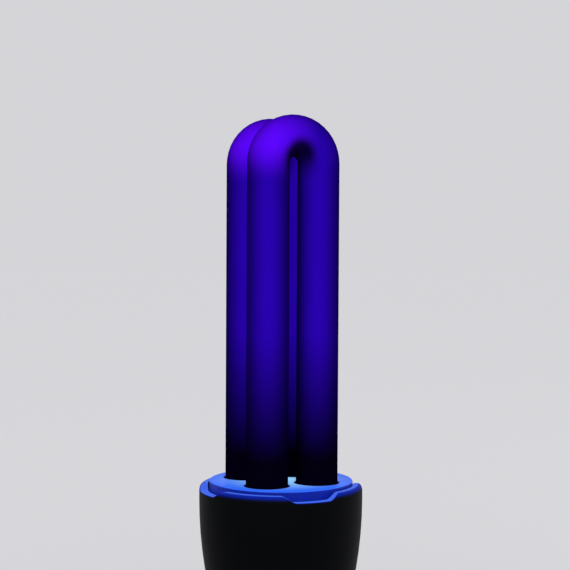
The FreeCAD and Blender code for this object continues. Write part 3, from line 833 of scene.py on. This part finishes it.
class HousingForm:
    """Turned section of the housing, and what the mould adds to it: notches, ribs and hook pockets."""

    def __init__(self, sizes, holder):
        self.sizes = sizes
        self.radius, self.top = housing_high.x, housing_high.z
        self.rim_radius = self.radius - sizes.rim_wall
        self.notch_z = self.top - sizes.notch_depth
        self.shoulder_z = shell_high.z + sizes.shoulder_rise
        self.barrel_z = self.shoulder_z + (self.radius - sizes.shoulder_radius) / math.tan(sizes.barrel_lean)
        self.inner_shoulder = sizes.shoulder_radius - sizes.wall
        self.inner_shoulder_z = self.shoulder_z + sizes.wall
        self.plug_bore = sizes.plug_radius - sizes.plug_wall
        slope = (sizes.shoulder_rise - sizes.neck_rise) / (sizes.shoulder_radius - sizes.neck_radius)
        self.throat_z = self.inner_shoulder_z - (self.inner_shoulder - self.plug_bore) * slope
        self.rib_low, self.rib_top = board_low.z - sizes.rib_height, holder_low.z
        hook_low, hook_top = hook_span(holder)
        self.pocket_low, self.pocket_top = hook_low - sizes.hook_room, hook_top + sizes.hook_room
        self.pocket_radius = holder_high.x + holder.hook_reach + sizes.hook_room
        self.pocket_half = holder.hook_angle / 2 + sizes.hook_room / self.pocket_radius

    def moulded(self, r, z, turn):
        """Place of a point of the section at an angle: in a notch, on a rib, in a pocket or where it was."""
        if z > self.notch_z - self.sizes.edge:
            return r, self.rim_height(r, z, turn)
        on_wall = z > self.rib_low - STEP and r < self.wall_radius(z) + STEP
        return (self.inner_radius(z, turn) if on_wall else r), z

    def rim_height(self, r, z, turn):
        """Height of a point of the rim, lowered into the notches and eased at the outer edge."""
        soft, edge = self.sizes.notch_soft, self.sizes.edge
        notch = self.notch_height(r * math.sin(from_quarter(turn)))
        lowered = (z + notch - math.hypot(notch - z, soft)) / 2 + soft / 4
        past = max(r - (self.radius - edge), 0.0) / edge
        dip = edge * (1 - math.sqrt(max(1 - past * past, 0.0)))
        return min(z, lowered) - dip

    def notch_height(self, across):
        """Height of a notch's floor and sloping walls, at a distance from its middle."""
        sizes = self.sizes
        flare = (sizes.notch_top - sizes.notch_floor) / 2 / sizes.notch_depth
        lift = (abs(across) - sizes.notch_floor / 2) / flare
        return self.notch_z + (lift + math.hypot(lift, sizes.notch_soft)) / 2

    def wall_radius(self, z):
        """Plain inner wall."""
        lean = (self.rim_radius - self.inner_shoulder) / (self.barrel_z - self.inner_shoulder_z)
        return min(self.rim_radius, self.inner_shoulder + (z - self.inner_shoulder_z) * lean)

    def inner_radius(self, z, turn):
        """Inner wall with its ribs and pockets."""
        sizes = self.sizes
        if self.rib_low < z < self.rib_top:
            rib = board_high.x + (sizes.board_gap if z > board_low.z else -sizes.rib_ledge)
            if abs(rib * math.sin(from_quarter(turn))) < sizes.rib_width / 2:
                return rib
        if self.pocket_low < z < self.pocket_top and from_corner(turn) < self.pocket_half:
            return self.pocket_radius
        return self.wall_radius(z)

    def outline(self):
        """Section up the inner side, over the rim and down the outer side."""
        sizes = self.sizes
        neck_top, neck_bottom = shell_high.z + sizes.neck_rise, shell_high.z
        inside = [
            (sizes.plug_radius, housing_low.z),
            (self.plug_bore, housing_low.z),
            (self.plug_bore, self.throat_z),
            (self.inner_shoulder, self.inner_shoulder_z),
        ]
        outside = rounded([
            (self.radius, self.notch_z, 0),
            (self.radius, self.barrel_z, sizes.barrel_round),
            (sizes.shoulder_radius, self.shoulder_z, sizes.shoulder_round),
            (sizes.neck_radius, neck_top, sizes.neck_round),
            (sizes.neck_radius, neck_bottom, 0),
            (sizes.plug_radius, neck_bottom, 0),
        ], step=math.radians(2.5))
        return inside + self.inner_wall() + self.rim() + [tuple(point) for point in outside[1:]]

    def inner_wall(self):
        """Points up the inner wall, with two at each end of a rib, a ledge or a pocket."""
        heights = [self.barrel_z, board_low.z, board_low.z + STEP]
        for low, high in ((self.rib_low, self.rib_top), (self.pocket_low, self.pocket_top)):
            heights += [low, low + STEP, high - STEP, high]
        return [(self.wall_radius(z), z) for z in sorted(heights)]

    def rim(self):
        """Points over a tab, with rings below it that keep the notches from bending the walls."""
        sizes = self.sizes
        inner_rings, outer_ring = (1.2 * MM, 0.7 * MM), 0.5 * MM
        points = [(self.rim_radius, self.notch_z - below) for below in inner_rings]
        flat = sizes.rim_wall - sizes.tab_round
        for k in range(sizes.flat_steps):
            points.append((self.rim_radius + flat * k / sizes.flat_steps, self.top))
        for k in range(sizes.crown_steps + 1):
            turn = math.pi / 2 * k / sizes.crown_steps
            inwards, down = 1 - math.sin(turn), 1 - math.cos(turn)
            points.append((self.radius - sizes.tab_round * inwards, self.top - sizes.tab_round * down))
        return points + [(self.radius, self.notch_z - outer_ring)]


class LAMP_OT_housing(Operator):
    """Turn the ballast housing with its castellated rim, and cut the wire slot of its plug"""
    bl_idname = "lamp.make_housing"
    bl_label = "Make housing"

    def execute(self, context):
        sizes = context.scene.lamp.housing
        form = HousingForm(sizes, context.scene.lamp.holder)
        mesh = turned_mesh("housing_blank", form.outline(), sizes.sides, form.moulded)
        blank = new_piece("housing_blank", mesh)
        cutter = self.slot_cutter(sizes, housing_low.z - OVERLAP, form.throat_z + sizes.wire_slot)
        cut_by(blank, [cutter])
        mesh = crease(settled(blank, "ballast_housing", [cutter]))
        dress(mesh, housing_plastic(sizes))
        new_piece("housing_with_painted_shade", mesh, "ballast_housing")
        return {"FINISHED"}

    def slot_cutter(self, sizes, low, high):
        """Block as wide as the wire slot, from the axis out through the plug at the neutral wire."""
        wire = (neutral_low + neutral_high) / 2
        reach = neutral_high.y
        turn = Matrix.Rotation(math.atan2(wire.y, wire.x), 3, "Z")
        mesh = bpy.data.meshes.new("wire_slot")
        work = bmesh.new()
        bmesh.ops.create_cube(work, size=1.0)
        bmesh.ops.scale(work, vec=(reach, sizes.wire_slot, high - low), verts=work.verts)
        bmesh.ops.translate(work, vec=(reach / 2, 0.0, (low + high) / 2), verts=work.verts)
        bmesh.ops.rotate(work, cent=(0, 0, 0), matrix=turn, verts=work.verts)
        work.to_mesh(mesh)
        work.free()
        return new_piece("wire_slot", mesh)


def shell_tree():
    """Sheet of the screw shell: turned-in heel, rolled thread, punch marks round the collar, flared edge."""
    tree, size = new_tree(
        "Rolled screw shell",
        ("Radius", "Depth", "Pitch", "Bottom", "Top", "Thread Start", "Thread End", "First Crest", "Run-out",
         "Mouth", "Heel", "Flare", "Stake Count", "Stake Size", "Stake Depth"),
        ("Columns", "Rows"))
    columns = tree.plus(size["Columns"], 1.0)
    rows = tree.plus(size["Rows"], 1.0)
    unit = {"Size X": 1.0, "Size Y": 1.0, "Vertices X": columns, "Vertices Y": rows}
    grid = tree.add("GeometryNodeMeshGrid", unit).outputs["Mesh"]
    position = tree.add("GeometryNodeInputPosition").outputs[0]
    on_grid = tree.add("ShaderNodeSeparateXYZ", {0: position}).outputs
    round_share = tree.plus(on_grid["X"], 0.5)
    up_share = tree.plus(on_grid["Y"], 0.5)
    height = tree.minus(size["Top"], size["Bottom"])
    z = tree.plus(size["Bottom"], tree.times(up_share, height))
    turn = tree.times(round_share, 2 * math.pi)
    from_crest = tree.minus(z, size["First Crest"])
    phase = tree.minus(tree.ratio(from_crest, size["Pitch"]), round_share)
    wave = tree.math("COSINE", tree.times(phase, 2 * math.pi))
    sunk = tree.times(tree.minus(1.0, wave), tree.times(size["Depth"], 0.5))
    start_end = tree.plus(size["Thread Start"], size["Run-out"])
    finish_start = tree.minus(size["Thread End"], size["Run-out"])
    begun = tree.ramp(z, size["Thread Start"], start_end)
    ended = tree.ramp(z, size["Thread End"], finish_start)
    flare_end = tree.minus(size["Top"], size["Flare"])
    flare_start = tree.minus(size["Top"], tree.times(size["Flare"], 4.0))
    flared = tree.ramp(z, flare_end, flare_start)
    collar = tree.times(size["Flare"], flared)
    low_collar = tree.times(collar, tree.minus(1.0, ended))
    thread = tree.times(sunk, tree.times(begun, ended))
    beat = tree.math("FRACT", tree.times(round_share, size["Stake Count"]))
    arc = tree.ratio(tree.times(size["Radius"], 2 * math.pi), size["Stake Count"])
    across = tree.times(tree.minus(beat, 0.5), arc)
    middle = tree.times(tree.plus(size["Thread End"], size["Top"]), 0.5)
    above = tree.minus(z, middle)
    near = tree.ratio(tree.squares(across, above), tree.times(size["Stake Size"], size["Stake Size"]))
    dent = tree.times(size["Stake Depth"], tree.math("EXPONENT", tree.times(near, -1.0)))
    wall = tree.minus(size["Radius"], tree.plus(tree.plus(low_collar, thread), dent))
    rise = tree.ratio(tree.minus(z, size["Bottom"]), size["Heel"])
    short = tree.minus(1.0, tree.math("MINIMUM", rise, 1.0))
    swell = tree.math("SQRT", tree.minus(1.0, tree.times(short, short)))
    radius = tree.plus(size["Mouth"], tree.times(swell, tree.minus(wall, size["Mouth"])))
    x = tree.times(radius, tree.math("COSINE", turn))
    y = tree.times(radius, tree.math("SINE", turn))
    place = tree.add("ShaderNodeCombineXYZ", {"X": x, "Y": y, "Z": z}).outputs[0]
    rolled = tree.add("GeometryNodeSetPosition", {"Geometry": grid, "Position": place}).outputs[0]
    joined = tree.add("GeometryNodeMergeByDistance", {"Geometry": rolled, "Distance": 1e-6}).outputs[0]
    return end_tree(tree, joined, size)


class LAMP_OT_shell(Operator):
    """Roll the screw shell with its thread"""
    bl_idname = "lamp.make_shell"
    bl_label = "Make screw shell"

    def execute(self, context):
        sizes = context.scene.lamp.cap
        sheet = tree_mesh("shell_sheet", shell_tree(), {
            "Radius": shell_high.x,
            "Depth": sizes.depth,
            "Pitch": sizes.pitch,
            "Bottom": shell_low.z,
            "Top": shell_high.z,
            "Thread Start": shell_low.z + sizes.thread_start,
            "Thread End": shell_high.z - sizes.thread_end,
            "First Crest": shell_low.z + sizes.first_crest,
            "Run-out": sizes.runout,
            "Mouth": sizes.mouth,
            "Heel": sizes.heel,
            "Flare": sizes.flare,
            "Stake Count": float(sizes.stakes),
            "Stake Size": sizes.stake_size,
            "Stake Depth": sizes.stake_depth,
            "Columns": sizes.columns,
            "Rows": sizes.rows,
            "Material": cap_metal(sizes),
        })
        piece = new_piece("shell_sheet", sheet)
        wall = piece.modifiers.new("sheet", "SOLIDIFY")
        wall.thickness = sizes.sheet
        wall.offset = -1.0
        mesh = crease(settled(piece, "screw_shell"), 50.0)
        new_piece("rolled_shell", mesh, "screw_shell")
        return {"FINISHED"}


class LAMP_OT_cap_end(Operator):
    """Turn the insulator and the centre contact"""
    bl_idname = "lamp.make_cap_end"
    bl_label = "Make cap end"

    def execute(self, context):
        sizes = context.scene.lamp.cap
        insulator = dress(crease(self.insulator_mesh(sizes)), cap_glass(sizes))
        new_piece("black_insulator", insulator, "cap_insulator")
        contact = dress(crease(self.contact_mesh(sizes)), tinned(sizes))
        new_piece("contact_button", contact, "centre_contact")
        return {"FINISHED"}

    def insulator_mesh(self, sizes):
        """Insulator with a hole for the wire and a seat for the contact."""
        base, top = insulator_low.z, insulator_high.z
        mouth = sizes.mouth - sizes.sheet - sizes.bond_gap
        bore = sizes.insulator_bore
        outline = rounded([
            (bore, contact_high.z, 0),
            (contact_high.x, contact_high.z, 0),
            (contact_high.x, base, sizes.edge),
            (sizes.insulator_tip, base, sizes.insulator_round),
            (mouth, shell_low.z, sizes.insulator_round),
            (mouth, shell_low.z + sizes.seat, sizes.fine_edge),
            (insulator_high.x, top, sizes.edge),
            (bore, top, 0),
        ], step=math.radians(8))
        return turned_mesh("cap_insulator", outline, sizes.insulator_sides)

    def contact_mesh(self, sizes):
        """Contact with a low crown."""
        base, top = contact_low.z, contact_high.z
        outline = rounded([
            (0, base, 0),
            (sizes.contact_flat, base, sizes.contact_round),
            (contact_high.x, base + sizes.contact_crown, sizes.contact_round),
            (contact_high.x, top, sizes.fine_edge),
            (0, top, 0),
        ], step=math.radians(6))
        return turned_mesh("centre_contact", outline, sizes.contact_sides)


class LAMP_OT_inner(Operator):
    """Give the pieces inside the housing their materials"""
    bl_idname = "lamp.finish_inner_pieces"
    bl_label = "Finish inner pieces"

    def execute(self, context):
        finishes = (
            (inner_finish("dry white cement", (0.8, 0.79, 0.75), 0.85), ("tube_cement",)),
            (inner_finish("paper laminate", (0.52, 0.37, 0.17), 0.6), ("circuit_board",)),
            (inner_finish("grey ferrite", (0.08, 0.08, 0.09), 0.7), ("choke_core", "drive_toroid")),
            (inner_finish("bobbin plastic", (0.04, 0.04, 0.045), 0.5), ("choke_bobbin",)),
            (inner_finish("enamelled copper", (0.6, 0.26, 0.11), 0.35, 1.0), ("choke_winding",)),
            (inner_finish("shrink sleeve", (0.03, 0.06, 0.14), 0.35), ("smoothing_capacitor",)),
            (inner_finish("dipped resin", (0.4, 0.14, 0.05), 0.35),
             ("resonant_capacitor", "coupling_capacitor", "filter_capacitor")),
            (inner_finish("black epoxy", (0.025, 0.025, 0.027), 0.6),
             ("trigger_diode", "fuse_resistor", "transistor_", "rectifier_diode_")),
            (inner_finish("wire cover", (0.7, 0.7, 0.68), 0.45), ("live_wire", "neutral_wire")),
            (inner_finish("tinned wire", (0.62, 0.62, 0.63), 0.35, 1.0), ("electrode_lead_", "wrap_pin_")),
        )
        for material, names in finishes:
            for name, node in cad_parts.items():
                if name.startswith(names):
                    dress(node.data, material)
        return {"FINISHED"}


def new_light(name, kind, place, target):
    """Lamp of a new light that faces a target."""
    lamp = bpy.data.lights.new(name, kind)
    light = bpy.data.objects.new(name, lamp)
    light.location = place
    light.rotation_euler = (Vector(target) - Vector(place)).to_track_quat("-Z", "Y").to_euler()
    bpy.context.scene.collection.objects.link(light)
    return lamp


class LAMP_OT_stage(Operator):
    """Set up the pale floor, the soft light and the camera"""
    bl_idname = "lamp.make_stage"
    bl_label = "Make stage"

    def execute(self, context):
        scene = context.scene
        sizes = scene.lamp.stage
        scene.view_settings.view_transform = "Standard"
        self.make_floor(sizes)
        self.make_world(scene, sizes)
        self.make_lights(sizes)
        self.make_camera(scene, sizes)
        return {"FINISHED"}

    def make_lights(self, sizes):
        """A square fill light, and a key light as wide as a large diffuser."""
        middle = (0.0, 0.0, cad_box[1].z / 2)
        fill = new_light("fill light", "AREA", sizes.fill_place, middle)
        fill.size = sizes.fill_size
        fill.energy = sizes.fill_power
        key = new_light("key light", "SUN", sizes.key_place, middle)
        key.angle = sizes.key_spread
        key.energy = sizes.key_strength

    def make_floor(self, sizes):
        mesh = bpy.data.meshes.new("floor")
        work = bmesh.new()
        bmesh.ops.create_circle(work, cap_ends=True, segments=96, radius=sizes.floor_radius)
        work.to_mesh(mesh)
        work.free()
        finish = Finish("pale floor", 0.9, specular=0.0)
        speckle = finish.ramp(finish.grain(scale=400.0), start=-25.0, end=1.0, smooth=False)
        finish.paint(finish.blend(speckle, BLACK, sizes.floor))
        finish.see_through_behind()
        mesh.materials.append(finish.material)
        floor = bpy.data.objects.new("floor", mesh)
        bpy.context.scene.collection.objects.link(floor)

    def make_world(self, scene, sizes):
        world = bpy.data.worlds.new("studio")
        world.use_nodes = True
        tree = Tree(world.node_tree)
        tree.tree.nodes.clear()
        path = tree.add("ShaderNodeLightPath").outputs
        seen = tree.math("MAXIMUM", path["Is Camera Ray"], path["Is Glossy Ray"])
        seen = tree.math("MAXIMUM", seen, path["Is Transmission Ray"])
        around = tree.add("ShaderNodeBackground", {"Color": (1.0, 1.0, 1.0, 1.0), "Strength": sizes.ambient})
        backdrop = tree.add("ShaderNodeBackground", {"Color": (*sizes.backdrop, 1.0), "Strength": 1.0})
        mix = tree.add("ShaderNodeMixShader", {0: seen, 1: around.outputs[0], 2: backdrop.outputs[0]})
        tree.add("ShaderNodeOutputWorld", {"Surface": mix.outputs[0]})
        scene.world = world

    def make_camera(self, scene, sizes):
        data = bpy.data.cameras.new("camera")
        data.lens = sizes.lens
        data.sensor_width = sizes.frame_width
        data.clip_start = 0.01
        camera = bpy.data.objects.new("camera", data)
        turn = Matrix.Rotation(-sizes.camera_turn, 4, "Z")
        place = turn @ Vector((0.0, -sizes.camera_distance, sizes.camera_height))
        pan = Matrix.Rotation(-sizes.camera_pan, 4, "Z")
        pitch = Matrix.Rotation(math.pi / 2 - sizes.camera_pitch, 4, "X")
        roll = Matrix.Rotation(sizes.camera_roll, 4, "Z")
        camera.matrix_world = Matrix.Translation(place) @ turn @ pan @ pitch @ roll
        scene.collection.objects.link(camera)
        scene.camera = camera


class LAMP_PT_panel(Panel):
    """Lists the steps that dress the lamp"""
    bl_idname = "LAMP_PT_panel"
    bl_label = "Black light lamp"
    bl_space_type = "VIEW_3D"
    bl_region_type = "UI"
    bl_category = "Lamp"

    def draw(self, context):
        for step in steps:
            self.layout.operator(step.bl_idname)


steps = (
    LAMP_OT_tubes,
    LAMP_OT_holder,
    LAMP_OT_housing,
    LAMP_OT_shell,
    LAMP_OT_cap_end,
    LAMP_OT_inner,
    LAMP_OT_stage,
)
groups = (TubeSettings, HolderSettings, HousingSettings, CapSettings, StageSettings, LampSettings)
classes = groups + steps + (LAMP_PT_panel,)


def register():
    for item in classes:
        bpy.utils.register_class(item)
    bpy.types.Scene.lamp = PointerProperty(type=LampSettings)


def unregister():
    del bpy.types.Scene.lamp
    for item in reversed(classes):
        bpy.utils.unregister_class(item)


def main():
    register()
    bpy.ops.lamp.make_tubes()
    bpy.ops.lamp.make_holder()
    bpy.ops.lamp.make_housing()
    bpy.ops.lamp.make_shell()
    bpy.ops.lamp.make_cap_end()
    bpy.ops.lamp.finish_inner_pieces()
    bpy.ops.lamp.make_stage()


if __name__ == "__main__":
    main()
